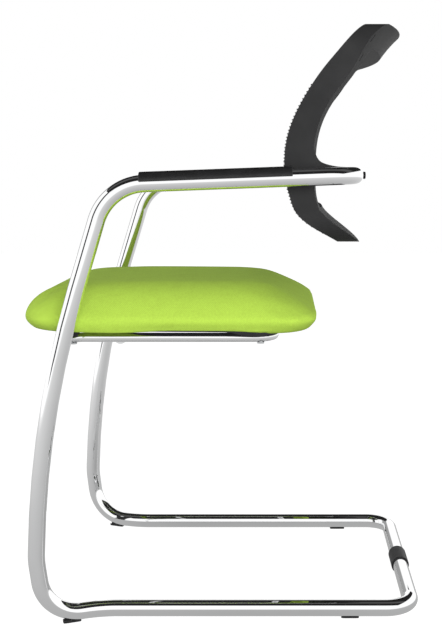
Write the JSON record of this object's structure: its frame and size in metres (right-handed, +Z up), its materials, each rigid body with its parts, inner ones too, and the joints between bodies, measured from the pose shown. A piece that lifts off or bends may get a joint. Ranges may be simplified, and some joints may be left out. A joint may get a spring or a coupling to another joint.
{
  "type": "cantilever visitor chair",
  "caption": "Cantilever visitor chair on a bent round tube frame with arms, upholstered seat and a curved mesh back on deep side blades.",
  "frame": {"origin": "on the floor under the middle of the chair's overall length and width", "axes": "+Z up, the sitter faces -Y, +X is the sitter's left"},
  "size_m": [0.5212, 0.6033, 0.884],
  "materials": {
    "chrome_tube": "bright chrome plating on bent steel tube",
    "rail_chrome": "bright chrome plating on the welded seat rail",
    "zinc_steel": "zinc plated steel fixings and spigots",
    "black_plastic": "moulded black plastic, fine matt texture",
    "pad_plastic": "moulded black arm pads, satin",
    "charcoal_plastic": "moulded charcoal plastic, fine spark texture",
    "mesh_knit": "charcoal knitted mesh",
    "lime_cloth": "lime green woven upholstery cloth",
    "foam": "moulded upholstery foam",
    "plywood": "birch plywood",
    "brass_insert": "knurled brass inserts"
  },
  "bodies": {
    "root": {"frame_tube_left": "chrome_tube", "frame_tube_right": "chrome_tube", "base_spigot": "zinc_steel", "back_tube_spigot": "zinc_steel", "base_sleeve": "black_plastic", "glide_front_left": "black_plastic", "glide_front_right": "black_plastic", "glide_rear_left": "black_plastic", "glide_rear_right": "black_plastic", "glide_screws": "zinc_steel", "seat_rail": "rail_chrome", "seat_cross_rod": "rail_chrome", "seat_rail_welds": "rail_chrome", "seat_cover": "lime_cloth", "seat_foam": "foam", "seat_board": "plywood", "seat_pan": "black_plastic", "saddle_front_left": "black_plastic", "saddle_front_right": "black_plastic", "saddle_rear_left": "black_plastic", "saddle_rear_right": "black_plastic", "seat_screws": "zinc_steel", "seat_tee_nuts": "zinc_steel", "arm_pad_left": "pad_plastic", "arm_pad_right": "pad_plastic", "arm_pad_screws": "zinc_steel", "back_frame": "charcoal_plastic", "mesh_carrier": "charcoal_plastic", "back_mesh": "mesh_knit", "back_bolts": "zinc_steel", "back_inserts": "brass_insert"}
  },
  "joints": []
}
